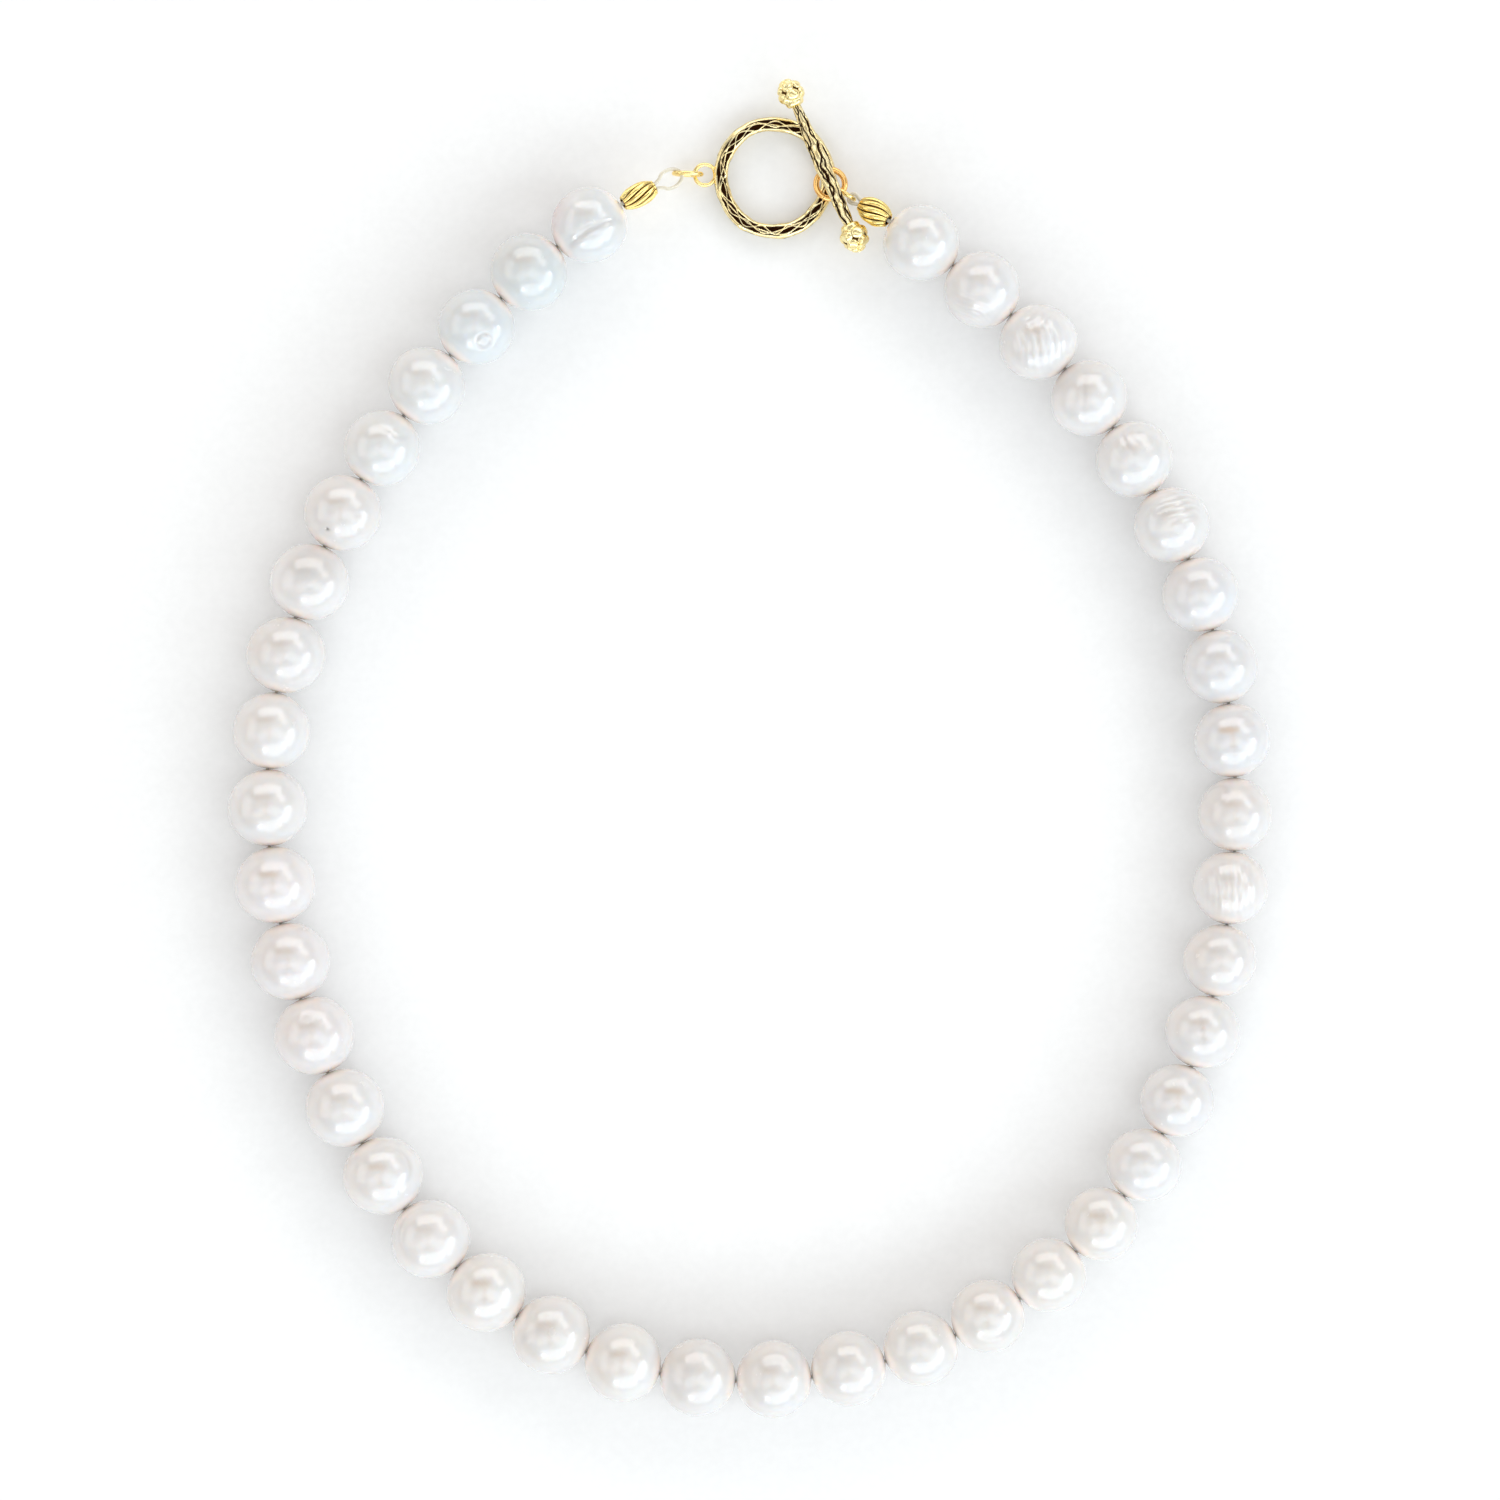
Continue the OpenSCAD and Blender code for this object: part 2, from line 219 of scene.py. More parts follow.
def gold_material(name, colour, shade_colour, streaks, streak_from, rough):
    """Polished plated gold: painted shade over a dark patina in its creases, and streaks along its grain
    painted as dark reflections.
    """
    s = Shader(name, metallic=1.0, specular_tint=(1.0, 0.93, 0.75, 1))
    grain = s.attribute("grain", "Vector")
    place = s.place()
    crease = s.ramp(s.attribute("crease"), 0.35, 0.7)
    streak = s.ramp(s.noise(grain, 3.6, 3.0, 0.55, 0.5), streak_from, streak_from + 0.04, 0.0, streaks)
    low = s.ramp(s.attribute("crease"), 0.04, 0.3, 0.12, 1.0)
    # Painted shade over patina in the creases, and painted dark reflections as streaks along the grain.
    dark = s.maths("MAXIMUM", crease, s.maths("MULTIPLY", streak, low))
    worn = s.ramp(s.noise(place, 700.0, 3.0), 0.35, 0.7)
    metal = s.mix(worn, (*colour, 1), (min(1.0, colour[0] * 1.04), colour[1] * 1.08, colour[2] * 1.25, 1))
    s.link(s.mix(dark, metal, (*shade_colour, 1)), "Base Color")
    shine = s.ramp(s.noise(place, 1500.0, 4.0, 0.6), 0.3, 0.75, rough, rough + 0.12)
    s.link(s.maths("ADD", shine, s.maths("MULTIPLY", dark, 0.18)), "Roughness")
    fine = s.bump(s.noise(grain, 4.0, 5.0, 0.6), 0.06 * MM, 0.4)
    s.link(s.bump(s.noise(place, 5200.0, 2.0), 0.01 * MM, 0.25, fine), "Normal")
    return s.material


def plain_gold_material(name, colour, rough):
    """Drawn and polished wire or tube: even colour, faint drawing marks and a worn sheen."""
    s = Shader(name, metallic=1.0, specular_tint=(1.0, 0.93, 0.75, 1))
    place = s.place()
    worn = s.ramp(s.noise(place, 900.0, 4.0, 0.6), 0.35, 0.7)
    s.link(
        s.mix(worn, (*colour, 1), (min(1.0, colour[0] * 1.05), colour[1] * 1.08, colour[2] * 1.2, 1)),
        "Base Color",
    )
    s.link(s.ramp(s.noise(place, 2600.0, 4.0, 0.6), 0.3, 0.75, rough, rough + 0.12), "Roughness")
    s.link(s.bump(s.noise(place, 4200.0, 3.0), 0.015 * MM, 0.3), "Normal")
    return s.material


def cord_material():
    """Cream bead cord: twisted plies, a soft sheen and painted yellowish shade in the lows between the plies.
    """
    s = Shader(
        "cord", sheen_weight=0.35, sheen_roughness=0.4, ior=1.5,
        subsurface_weight=0.3, subsurface_radius=(1.0, 0.9, 0.8), subsurface_scale=0.5 * MM,
    )
    place = s.place()
    fibre = s.noise(place, 6500.0, 3.0, 0.6)
    low = s.attribute("crease")
    cream = s.mix(s.ramp(fibre, 0.3, 0.7), (0.82, 0.79, 0.70, 1), (0.71, 0.67, 0.56, 1))
    # Painted shade, yellowish, in the lows between the plies.
    s.link(s.mix(s.maths("MULTIPLY", low, 0.5), cream, (0.52, 0.47, 0.36, 1)), "Base Color")
    s.link(s.ramp(fibre, 0.3, 0.7, 0.42, 0.6), "Roughness")
    s.link(s.bump(fibre, 0.02 * MM, 0.5), "Normal")
    return s.material


def floor_material():
    """A smooth white card, with a faint tooth."""
    s = Shader("floor", ior=1.3, specular_ior_level=0.2, emission_color=(1, 1, 1, 1), emission_strength=0.05)
    place = s.place()
    tooth = s.noise(place, 900.0, 4.0, 0.6)
    s.link(s.mix(s.ramp(tooth, 0.3, 0.7), (0.82, 0.82, 0.82, 1), (0.84, 0.84, 0.84, 1)), "Base Color")
    s.link(s.ramp(tooth, 0.3, 0.7, 0.75, 0.9), "Roughness")
    s.link(s.bump(tooth, 0.02 * MM, 0.15), "Normal")
    return s.material


NACRE = nacre_material()
CORD = cord_material()
# Each gold's dark colour is the painted shade and dark reflections in its creases and streaks.
BARK_GOLD = gold_material("bark_gold", (1.0, 0.81, 0.42), (0.022, 0.007, 0.002), 1.0, 0.51, 0.1)
BUD_GOLD = gold_material("bud_gold", (1.0, 0.82, 0.40), (0.07, 0.03, 0.006), 0.7, 0.62, 0.13)
COVER_GOLD = gold_material("cover_gold", (1.0, 0.74, 0.26), (0.06, 0.025, 0.005), 0.6, 0.64, 0.13)
WIRE_GOLD = plain_gold_material("wire_gold", (1.0, 0.76, 0.32), 0.14)
ROSE_GOLD = plain_gold_material("rose_gold", (1.0, 0.58, 0.20), 0.16)
TUBE_GOLD = plain_gold_material("tube_gold", (1.0, 0.72, 0.30), 0.2)


# ---------------------------------------------------------------- building

def face_outward(mesh):
    """Turns every face of a closed mesh to look outward."""
    shell = bmesh.new()
    shell.from_mesh(mesh)
    bmesh.ops.recalc_face_normals(shell, faces=shell.faces)
    shell.to_mesh(mesh)
    shell.free()


def grid_piece(name, points, material, body, slot, stands_for, wrap=(False, True), **attributes):
    """A piece from a grid of points: rows by columns by 3, closed along the rows or columns as wrap says."""
    rows, columns = points.shape[:2]
    index = np.arange(rows * columns).reshape(rows, columns)
    last_row = rows if wrap[0] else rows - 1
    last_column = columns if wrap[1] else columns - 1
    r, c = np.meshgrid(np.arange(last_row), np.arange(last_column), indexing="ij")
    r_next, c_next = (r + 1) % rows, (c + 1) % columns
    quads = np.stack([index[r, c], index[r, c_next], index[r_next, c_next], index[r_next, c]], -1)
    faces = quads.reshape(-1, 4).tolist()
    if not wrap[0]:
        faces.append(index[0, ::-1].tolist())
        faces.append(index[-1].tolist())
    mesh = bpy.data.meshes.new(name)
    mesh.from_pydata(points.reshape(-1, 3).tolist(), [], faces)
    face_outward(mesh)
    for key, values in attributes.items():
        values = np.asarray(values, np.float32)
        if values.ndim == 2:
            mesh.attributes.new(key, "FLOAT", "POINT").data.foreach_set("value", values.ravel())
        elif values.shape[-1] == 4:
            mesh.attributes.new(key, "FLOAT_COLOR", "POINT").data.foreach_set("color", values.ravel())
        else:
            mesh.attributes.new(key, "FLOAT_VECTOR", "POINT").data.foreach_set("vector", values.ravel())
    mesh.shade_smooth()
    mesh.materials.append(material)
    made = bpy.data.objects.new(name, mesh)
    bpy.context.scene.collection.objects.link(made)
    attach(made, body)
    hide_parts(*stands_for)


def smooth_step(x):
    """0 below 0, 1 above 1, and an eased rise between."""
    x = np.clip(x, 0, 1)
    return x * x * (3 - 2 * x)


def unit(v):
    """Vectors scaled to length 1."""
    v = np.asarray(v, float)
    return v / np.linalg.norm(v, axis=-1, keepdims=True)


def heading(turn, slope=0.0):
    """Unit vector at that angle on the table, sloping down."""
    a, s = math.radians(turn), math.radians(slope)
    return np.array([math.cos(s) * math.cos(a), math.cos(s) * math.sin(a), -math.sin(s)])


def joint_point(name):
    """A joint's place in the part's frame."""
    return np.array(joints[name]["pos_m"])


# ---------------------------------------------------------------- pearls

PEARL_COUNT = 41
BORE_RADIUS = 0.4 * MM
PLAY = 0.07 * MM
BORE_ROWS = 3
PEARL_SEED = 500
WAVES = 6
# The pinhole in pearl_06, and the rosy blush on the left of pearl_01.
PITTED, PIT = 6, (-0.38, -0.46, 0.8)
BLUSHED, BLUSH = 1, (0.86, 0.66, 0.66)
gap_names = [f"gap_{i:02d}_{i + 1:02d}" for i in range(1, PEARL_COUNT)]
gaps = [joint_point(n) for n in ["cover_left_swing", *gap_names, "cover_right_swing"]]


def around(n, centre):
    """Angle in degrees between directions n and one direction."""
    return np.degrees(np.arccos(np.clip(n @ unit(centre), -1, 1)))


def near(n, centre, width):
    """1 at a direction, fading to 0 over some degrees."""
    return np.exp(-((around(n, centre) / width) ** 2))


def ring_mark(n, pole, at, width, depth, centre=None, reach=180.0):
    """A groove along a small circle about a pole, all the way round or only near a place."""
    mark = -depth * np.exp(-(((around(n, pole) - at) / width) ** 2))
    return mark if centre is None else mark * near(n, centre, reach)


def wrinkles(n, pole, step, depth, centre, reach, waver=6.0):
    """Several uneven grooves side by side about a pole, near a place."""
    side = n @ unit(np.cross(pole, [0.31, 0.2, 0.93]))
    turn = around(n, pole) + waver * np.sin(5.0 * side + 1.0)
    wave = np.sin(2 * math.pi * turn / step) + 0.5 * np.sin(2 * math.pi * turn / (1.7 * step) + 2.0)
    return depth * 0.6 * wave * near(n, centre, reach)


def dimple(n, centre, width, depth):
    """A round hollow about a direction."""
    return -depth * near(n, centre, width)


# What each marked pearl shows on its upper side, in millimetres and degrees.
MARKS = {
    1: lambda n: (
        ring_mark(n, (0.45, -0.8, 0.3), 62, 5, 0.34, (-0.3, 0.2, 0.9), 48)
        + 0.16 * near(n, (-0.35, 0.5, 0.75), 14)
    ),
    2: lambda n: dimple(n, (-0.2, 0.5, 0.8), 22, 0.05),
    3: lambda n: (
        ring_mark(n, (0.25, -0.42, 0.87), 11.5, 3.2, 0.15)
        + dimple(n, (0.25, -0.42, 0.87), 7, 0.1)
        + dimple(n, (0.3, 0.1, 0.9), 16, 0.06)
    ),
    5: lambda n: ring_mark(n, (0.4, 0.7, 0.5), 34, 4, 0.07, (0.35, 0.35, 0.85), 26),
    6: lambda n: dimple(n, PIT, 3.0, 0.14) + dimple(n, (0.42, -0.1, 0.9), 6, 0.05),
    7: lambda n: 0.26 * near(n, (-0.85, -0.1, 0.3), 30) - 0.16 * near(n, (0.1, 0.55, 0.8), 34),
    10: lambda n: 0.1 * near(n, (-0.7, 0.5, 0.4), 30),
    13: lambda n: dimple(n, (-0.15, 0.45, 0.85), 9, 0.11) + 0.08 * near(n, (-0.3, 0.62, 0.7), 10),
    15: lambda n: ring_mark(n, (0.15, 0.2, 0.97), 37, 3.2, 0.1, (0.55, 0.4, 0.7), 34),
    16: lambda n: ring_mark(n, (-0.1, 0.2, 0.97), 46, 3.2, 0.07, (-0.6, 0.3, 0.7), 36),
    18: lambda n: ring_mark(n, (-0.2, -0.5, 0.8), 40, 5, 0.09, (-0.5, 0.3, 0.8), 40),
    20: lambda n: wrinkles(n, (0.0, 0.6, 0.8), 13, 0.035, (0, 0.3, 0.95), 24),
    21: lambda n: ring_mark(n, (0.0, 0.1, 1.0), 27, 5, 0.06, (0, 0.6, 0.8), 40),
    24: lambda n: ring_mark(n, (0.1, 0.1, 0.97), 40, 4, 0.08, (0.4, -0.6, 0.6), 42),
    26: lambda n: dimple(n, (0.0, 0.25, 0.95), 9, 0.08) + wrinkles(n, (1, 0, 0.2), 12, 0.03, (0, 0.2, 1), 22),
    29: lambda n: ring_mark(n, (1.0, 0.1, 0.0), 92, 3, 0.1, (-0.05, 0.05, 1.0), 26),
    31: lambda n: wrinkles(n, (1.0, 0.05, 0.0), 10.5, 0.065, (0.0, -0.12, 1.0), 38, 0.8),
    32: lambda n: ring_mark(n, (-0.6, 0.5, 0.6), 22, 4, 0.07, (-0.4, 0.6, 0.6), 30),
    33: lambda n: ring_mark(n, (1.0, 0.0, 0.0), 88, 4, 0.06, (0.0, -0.3, 0.9), 20),
    36: lambda n: (
        wrinkles(n, (0.35, -0.35, 0.87), 12, 0.13, (0.15, 0.52, 0.83), 26, 4.0)
        + dimple(n, (-0.3, 0.35, 0.88), 12, 0.1)
    ),
    37: lambda n: wrinkles(n, (0.8, 0.5, 0.2), 13, 0.07, (-0.2, 0.42, 0.88), 20, 5.0),
    38: lambda n: (
        ring_mark(n, (1.0, 0.0, 0.1), 93, 4, 0.1, (0.05, 0.1, 1.0), 34)
        + 0.22 * near(n, (-0.8, -0.5, 0.2), 30)
        - 0.14 * near(n, (-0.6, 0.6, 0.4), 30)
    ),
    39: lambda n: (
        wrinkles(n, (1.0, 0.25, 0.0), 12, 0.09, (0.1, -0.1, 1.0), 34, 3.0)
        + wrinkles(n, (0.6, -0.6, 0.4), 14, 0.08, (0.0, 0.5, 0.85), 20)
        + 0.2 * near(n, (0.8, 0.1, 0.3), 30)
    ),
    40: lambda n: wrinkles(n, (0.5, 0.8, 0.1), 8, 0.035, (-0.35, -0.55, 0.75), 26, 5.0),
}
FINELY_MARKED = (1, 3, 6, 31, 36, 37, 39, 40)

# Every painted colour is multiplied by BODY. TONES holds body colours, by the pearl at which each starts.
BODY = np.array((0.80, 0.805, 0.825))
WHITE = (0.89, 0.87, 0.845)
TONES = [
    (1, (0.83, 0.86, 0.86)), (2, (0.78, 0.825, 0.82)), (3, (0.81, 0.855, 0.865)),
    (4, (0.855, 0.87, 0.86)), (6, WHITE), (11, (0.90, 0.865, 0.845)), (14, WHITE),
    (17, (0.90, 0.875, 0.835)), (20, (0.87, 0.85, 0.82)), (23, (0.88, 0.855, 0.815)),
    (27, (0.87, 0.855, 0.835)), (30, (0.88, 0.85, 0.82)), (33, (0.85, 0.845, 0.84)),
    (36, (0.87, 0.86, 0.84)), (41, (0.87, 0.87, 0.85)),
]
PEACH = (0.90, 0.74, 0.62)
PATCH = (0.80, 0.68, 0.57)
SHADE = (0.77, 0.75, 0.72)
BOUNCE_LIGHT = (1.16, 1.06, 0.98)
GROOVE_SHADE = (0.70, 0.67, 0.64)
CREST_HIGHLIGHT = (0.97, 0.96, 0.95)
BLUE = (0.74, 0.84, 0.93)
ROSE = (0.91, 0.81, 0.77)
# How warm the painted dark reflection on each pearl's top is, on the pearls where it is plainly warm and on
# the others.
WARM_PATCH = {6: 0.35, 8: 0.3, 9: 0.3, 10: 0.3, 11: 0.6, 12: 0.4, 13: 0.35, 15: 0.45, 17: 0.6, 18: 0.5,
              19: 0.5, 21: 0.35, 24: 0.4, 26: 0.5, 28: 0.6, 29: 0.4, 31: 0.2, 32: 0.35, 33: 0.9, 39: 0.5}
FAINT_PATCH = 0.12


def pearl_tint(i, n, along, marks, rng):
    """Painted body colour with painted light: warm shade upper left and a warm-tinged dark reflection on top,
    cool daylight lower right and a rosy sheen low down.
    """
    tone = np.array([c for start, c in TONES if start <= i][-1]) * BODY * rng.uniform(0.985, 1.015)
    colour = np.broadcast_to(tone, n.shape).copy()

    def paint(other, weight):
        nonlocal colour
        colour = colour + (np.array(other) * BODY - colour) * np.clip(weight, 0, 1)[..., None]

    # Painted light: cool daylight on the lower right of every pearl.
    paint(BLUE, 0.16 * near(n, (0.5, -0.5, 0.7), rng.uniform(38, 52)))
    # Painted shade: warm on the upper left of every pearl, the side turned from the windows.
    paint(PEACH, rng.uniform(0.12, 0.3) * near(n, (-0.8, 0.5, 0.3), 50))
    # Painted light: bright, warm light bounced between neighbours near each end, where the pearls meet.
    paint(BOUNCE_LIGHT, 0.85 * smooth_step((np.abs(n @ along) - 0.72) / 0.22))
    # Painted reflection of the dark room overhead: a lens-shaped patch on each pearl's top and a faint stem
    # down its middle, grey and warmed as WARM_PATCH says.
    warm = WARM_PATCH.get(i, FAINT_PATCH)
    reflected_patch = np.exp(-(((n[..., 0] + 0.13) / 0.26) ** 4) - ((n[..., 1] - 0.28) / 0.085) ** 2)
    reflected_stem = np.exp(-(((n[..., 0] + 0.02) / 0.07) ** 2) - ((n[..., 1] + 0.02) / 0.2) ** 4)
    paint(SHADE, np.where(n[..., 2] > 0, 0.55 * reflected_patch + 0.2 * reflected_stem, 0))
    paint(PATCH, np.where(n[..., 2] > 0, 1.3 * warm * reflected_patch + 0.6 * warm * reflected_stem, 0))
    # Painted sheen: a rosy tint low down, round each pearl's rim.
    paint(ROSE, rng.uniform(0.1, 0.25) * smooth_step((0.42 - n[..., 2]) / 0.5))
    low = 0.5 * near(n, (rng.uniform(-1, 1), rng.uniform(-1, 1), 0.6), 24)
    paint(ROSE if rng.random() < 0.5 else BLUE, 0.2 * low)
    # Painted shade in each mark's grooves and a painted highlight on its crests.
    paint(GROOVE_SHADE, 0.45 * np.clip(-marks / 0.1, 0, 1))
    paint(CREST_HIGHLIGHT, 0.4 * np.clip(marks / 0.1, 0, 1))
    if i == BLUSHED:
        paint(BLUSH, 0.6 * near(n, (-0.95, 0.25, 0.1), 34))
    alpha = np.ones(n.shape[:-1] + (1,))
    return np.concatenate([np.clip(colour, 0, 1), alpha], -1)


def pearl(i):
    """One drilled pearl, a little off round, with its own marks, between its two hinge points."""
    rng = random.Random(PEARL_SEED + i)
    name = f"pearl_{i:02d}"
    low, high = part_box(name)
    start, end = gaps[i - 1], gaps[i]
    along = unit(end - start)
    side = np.cross(UP, along)
    half_long = np.linalg.norm(end - start) / 2 - PLAY / 2
    half_wide = (high.z - low.z) / 2
    columns, rows = (168, 112) if i in FINELY_MARKED else (84, 56)
    edge = math.asin(BORE_RADIUS / half_wide)
    lat = np.linspace(edge, math.pi - edge, rows)[:, None]
    lon = np.linspace(0, 2 * math.pi, columns, endpoint=False)[None, :]
    across = np.cos(lon)[..., None] * side + np.sin(lon)[..., None] * UP
    n = np.sin(lat)[..., None] * across + np.cos(lat)[..., None] * along
    shape = np.zeros(n.shape[:2])
    for _ in range(WAVES):
        pole = unit([rng.gauss(0, 1) for _ in range(3)])
        shape += rng.uniform(0.015, 0.05) * np.sin(rng.uniform(1.5, 3.6) * (n @ pole) + rng.uniform(0, 6.3))
    shape -= shape.mean()
    marks = MARKS[i](n) if i in MARKS else 0 * shape
    shape = shape + marks
    ends = 1 - np.abs(n @ along) ** 8
    lift = (shape * ends * MM)[..., None]
    skin = half_wide * np.sin(lat)[..., None] * across + half_long * np.cos(lat)[..., None] * along + n * lift
    skin[..., 2] = np.maximum(skin[..., 2], -half_wide)
    reach = np.linspace(-1, 1, BORE_ROWS + 2)[1:-1, None, None] * half_long * math.cos(edge) * 0.98
    bore = BORE_RADIUS * 0.94 * across + reach * along
    middle = (start + end) / 2
    points = np.concatenate([skin, bore]) + middle
    tint = pearl_tint(i, n, along, marks, rng)
    # Painted shade in pearl_06's pinhole, and a share of it on the bore's walls.
    pit = np.zeros(n.shape[:2])
    if i == PITTED:
        pit = near(n, PIT, 2.6)
    bore_shade = np.full((BORE_ROWS, columns), 0.3)
    tint = np.concatenate([tint, np.broadcast_to(tint[-1:, :], (BORE_ROWS, columns, 4))])
    pit = np.concatenate([pit, bore_shade])
    grid_piece(f"nacre_{i:02d}", points[:, ::-1], NACRE, name, "pearl", [name], (True, True),
               tint=tint[:, ::-1], pit=pit[:, ::-1])


for number in range(1, PEARL_COUNT + 1):
    pearl(number)


# ---------------------------------------------------------------- thread

THREAD_RADIUS = 0.25 * MM
THREAD_POINTS = 24
PLIES = 3
PLY_DEPTH = 0.13
PLY_TWIST = 1.9 / MM
CAP_STEPS = 4


def smooth_path(points, steps):
    """A Catmull-Rom curve through the points."""
    p = np.vstack([2 * points[0] - points[1], points, 2 * points[-1] - points[-2]])
    made = []
    for k in range(1, len(p) - 2):
        for t in np.linspace(0, 1, steps, endpoint=False):
            a, b, c, d = p[k - 1: k + 3]
            made.append(0.5 * (2 * b + (c - a) * t + (2 * a - 5 * b + 4 * c - d) * t**2
                               + (3 * b - a - 3 * c + d) * t**3))
    made.append(points[-1])
    return np.array(made)


def cord_piece(name, path, body):
    """Three plies twisted round each other along a path, with rounded ends."""
    sides = 18
    run = unit(np.gradient(path, axis=0))
    first = unit(np.cross(run[0], UP if abs(run[0][2]) < 0.9 else [1, 0, 0]))
    normals = [first]
    for k in range(1, len(path)):
        moved = normals[-1] - run[k] * (normals[-1] @ run[k])
        normals.append(unit(moved))
    length = np.concatenate([[0], np.cumsum(np.linalg.norm(np.diff(path, axis=0), axis=1))])
    stations = [(0, path[0] - run[0] * THREAD_RADIUS * math.cos(a), math.sin(a))
                for a in np.linspace(0.15, math.pi / 2, CAP_STEPS, endpoint=False)]
    stations += [(k, path[k], 1.0) for k in range(len(path))]
    stations += [(len(path) - 1, path[-1] + run[-1] * THREAD_RADIUS * math.cos(a), math.sin(a))
                 for a in np.linspace(math.pi / 2, 0.15, CAP_STEPS + 1)[1:]]
    turn = np.linspace(0, 2 * math.pi, sides, endpoint=False)
    rows, low = [], []
    for k, at, share in stations:
        other = np.cross(run[k], normals[k])
        ply = np.cos(PLIES * turn - PLY_TWIST * length[k])
        radius = THREAD_RADIUS * share * (1 - PLY_DEPTH * (0.5 - 0.5 * ply))
        out, over = radius * np.cos(turn), radius * np.sin(turn)
        rows.append(at + out[:, None] * normals[k] + over[:, None] * other)
        # How low each point sits between the plies, for the painted shade there.
        low.append(0.5 - 0.5 * ply)
    grid_piece(name, np.array(rows)[:, ::-1], CORD, body, "cord", ["beading_thread"],
               crease=np.array(low)[:, ::-1])


for number in range(1, PEARL_COUNT + 1):
    start, end = gaps[number - 1], gaps[number]
    inset = unit(end - start) * THREAD_RADIUS * 0.5
    path = np.linspace(start + inset, end - inset, THREAD_POINTS)
    cord_piece(f"thread_{number:02d}", path, f"pearl_{number:02d}")

# The clasp's ends, in millimetres and degrees, as in the part's source, but for a rounder left loop:
# stretch is a loop's length over its width, and open how far round it goes on each side of its tip.
COVER_START = 0.3
LEG_START, LEG_APART, LEG_SPARE = -0.02, 0.28, 0.2
SPLIT_FROM, SPLIT_TO = 0.5, 1.4
ENDS = {
    "left": {"hinge": "cover_left_swing", "turn": 28, "slope": 12, "tip": 8.7, "cover": (4.6, 3.0),
             "loop": 1.15, "stretch": 1.35, "open": 150},
    "right": {"hinge": "cover_right_swing", "turn": 147, "slope": 18, "tip": 6.35, "cover": (4.3, 3.4),
              "loop": 0.62, "stretch": 1.0, "open": 130},
}


def cord_loop(side):
    """The cord's end: through the crimp, round its loop and back beside itself."""
    e = ENDS[side]
    along = heading(e["turn"], e["slope"])
    beside = heading(e["turn"] + 90)
    leg_end = COVER_START + e["cover"][0] - LEG_SPARE
    split, apart = COVER_START + SPLIT_FROM, COVER_START + SPLIT_TO
    legs = [(LEG_START, 0), (split, 0), (apart, -LEG_APART), (leg_end, -LEG_APART)]
    long = e["loop"] * e["stretch"]
    angles = np.radians(np.linspace(-e["open"], e["open"], 13))
    bend = [(e["tip"] - long + long * math.cos(a), e["loop"] * math.sin(a)) for a in angles]
    back = [(leg_end, LEG_APART), (apart, LEG_APART)]
    flat = np.array(legs + bend + back) * MM
    path = joint_point(e["hinge"]) + flat[:, :1] * along + flat[:, 1:] * beside
    cord_piece(f"thread_loop_{side}", smooth_path(path, 7), f"cover_{side}")


# ---------------------------------------------------------------- crimp covers

def crimp_cover(side):
    """A corrugated spindle bead folded over its crimp: raised ribs from end to end and a rolled lip."""
    e = ENDS[side]
    along = heading(e["turn"], e["slope"])
    beside = heading(e["turn"] + 90)
    over = np.cross(along, beside)
    ribs, columns, rows = 10, 160, 72
    wall, mouth = 0.32, 0.66
    t = np.linspace(-1, 1, rows)[:, None]
    a = np.linspace(0, 2 * math.pi, columns, endpoint=False)[None, :]
    long, wide = e["cover"]
    bulge = mouth + (wide / 2 - mouth) * np.sqrt(np.clip(1 - (t / 1.01) ** 2, 0, 1)) ** 1.35
    lip = 0.10 * np.exp(-(((np.abs(t) - 0.97) / 0.04) ** 2))
    wave = np.abs(np.sin(ribs / 2 * (a + 0.5 * t)))
    rib = wave**0.7
    depth = 0.36 * (1 - 0.75 * np.abs(t) ** 4)
    outer = bulge + lip - depth * (1 - rib)
    inner = np.clip(bulge - depth - wall, 0.5, None) + 0 * a
    radius = np.concatenate([outer, inner[::-1]])
    place = np.concatenate([t, t[::-1] * 0.985]) * long / 2 + COVER_START + long / 2
    # Painted shade down the grooves between the ribs and inside the bead.
    crease = np.concatenate([(1 - rib) ** 1.1 * (1.1 - 0.3 * np.abs(t) ** 6), np.full((rows, columns), 0.9)])
    spoke = np.cos(a)[..., None] * beside + np.sin(a)[..., None] * over
    points = joint_point(e["hinge"]) + (place[..., None] * along + radius[..., None] * spoke) * MM
    grain = np.stack([place * 0.3 + 0 * a, radius * np.cos(a), radius * np.sin(a)], -1)
    grid_piece(f"cover_bead_{side}", points[:, ::-1], COVER_GOLD, f"cover_{side}", "cover_gold",
               [f"crimp_cover_{side}"], (True, True), crease=crease[:, ::-1], grain=grain[:, ::-1])


for side_name in ENDS:
    cord_loop(side_name)
    crimp_cover(side_name)


# ---------------------------------------------------------------- toggle ring
RING_RADIUS = 6.75
BAND_WIDE, BAND_THICK = 0.90, 0.64
RING_TILT = 4.5
# From the ring's right end in to its middle, and that middle's height.
RING_REACH, RING_HEIGHT = 7.5, 1.2234
# Ridges that wind along the band: middle and swing across it, turns round it, start.
RING_RIDGES = [(0.0, 0.5, 7, 0.4), (0.15, 0.45, 5, 2.9), (-0.12, 0.6, 10, 4.4)]
CHAIN_TURN = -2
ring_low, ring_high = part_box("toggle_ring")
ring_middle = np.array(
    [ring_high.x - RING_REACH * MM, (ring_low.y + ring_high.y) / 2, RING_HEIGHT * MM]
)
ring_matrix = np.array(
    Matrix.Rotation(math.radians(CHAIN_TURN), 3, "Z") @ Matrix.Rotation(math.radians(RING_TILT), 3, "Y")
)


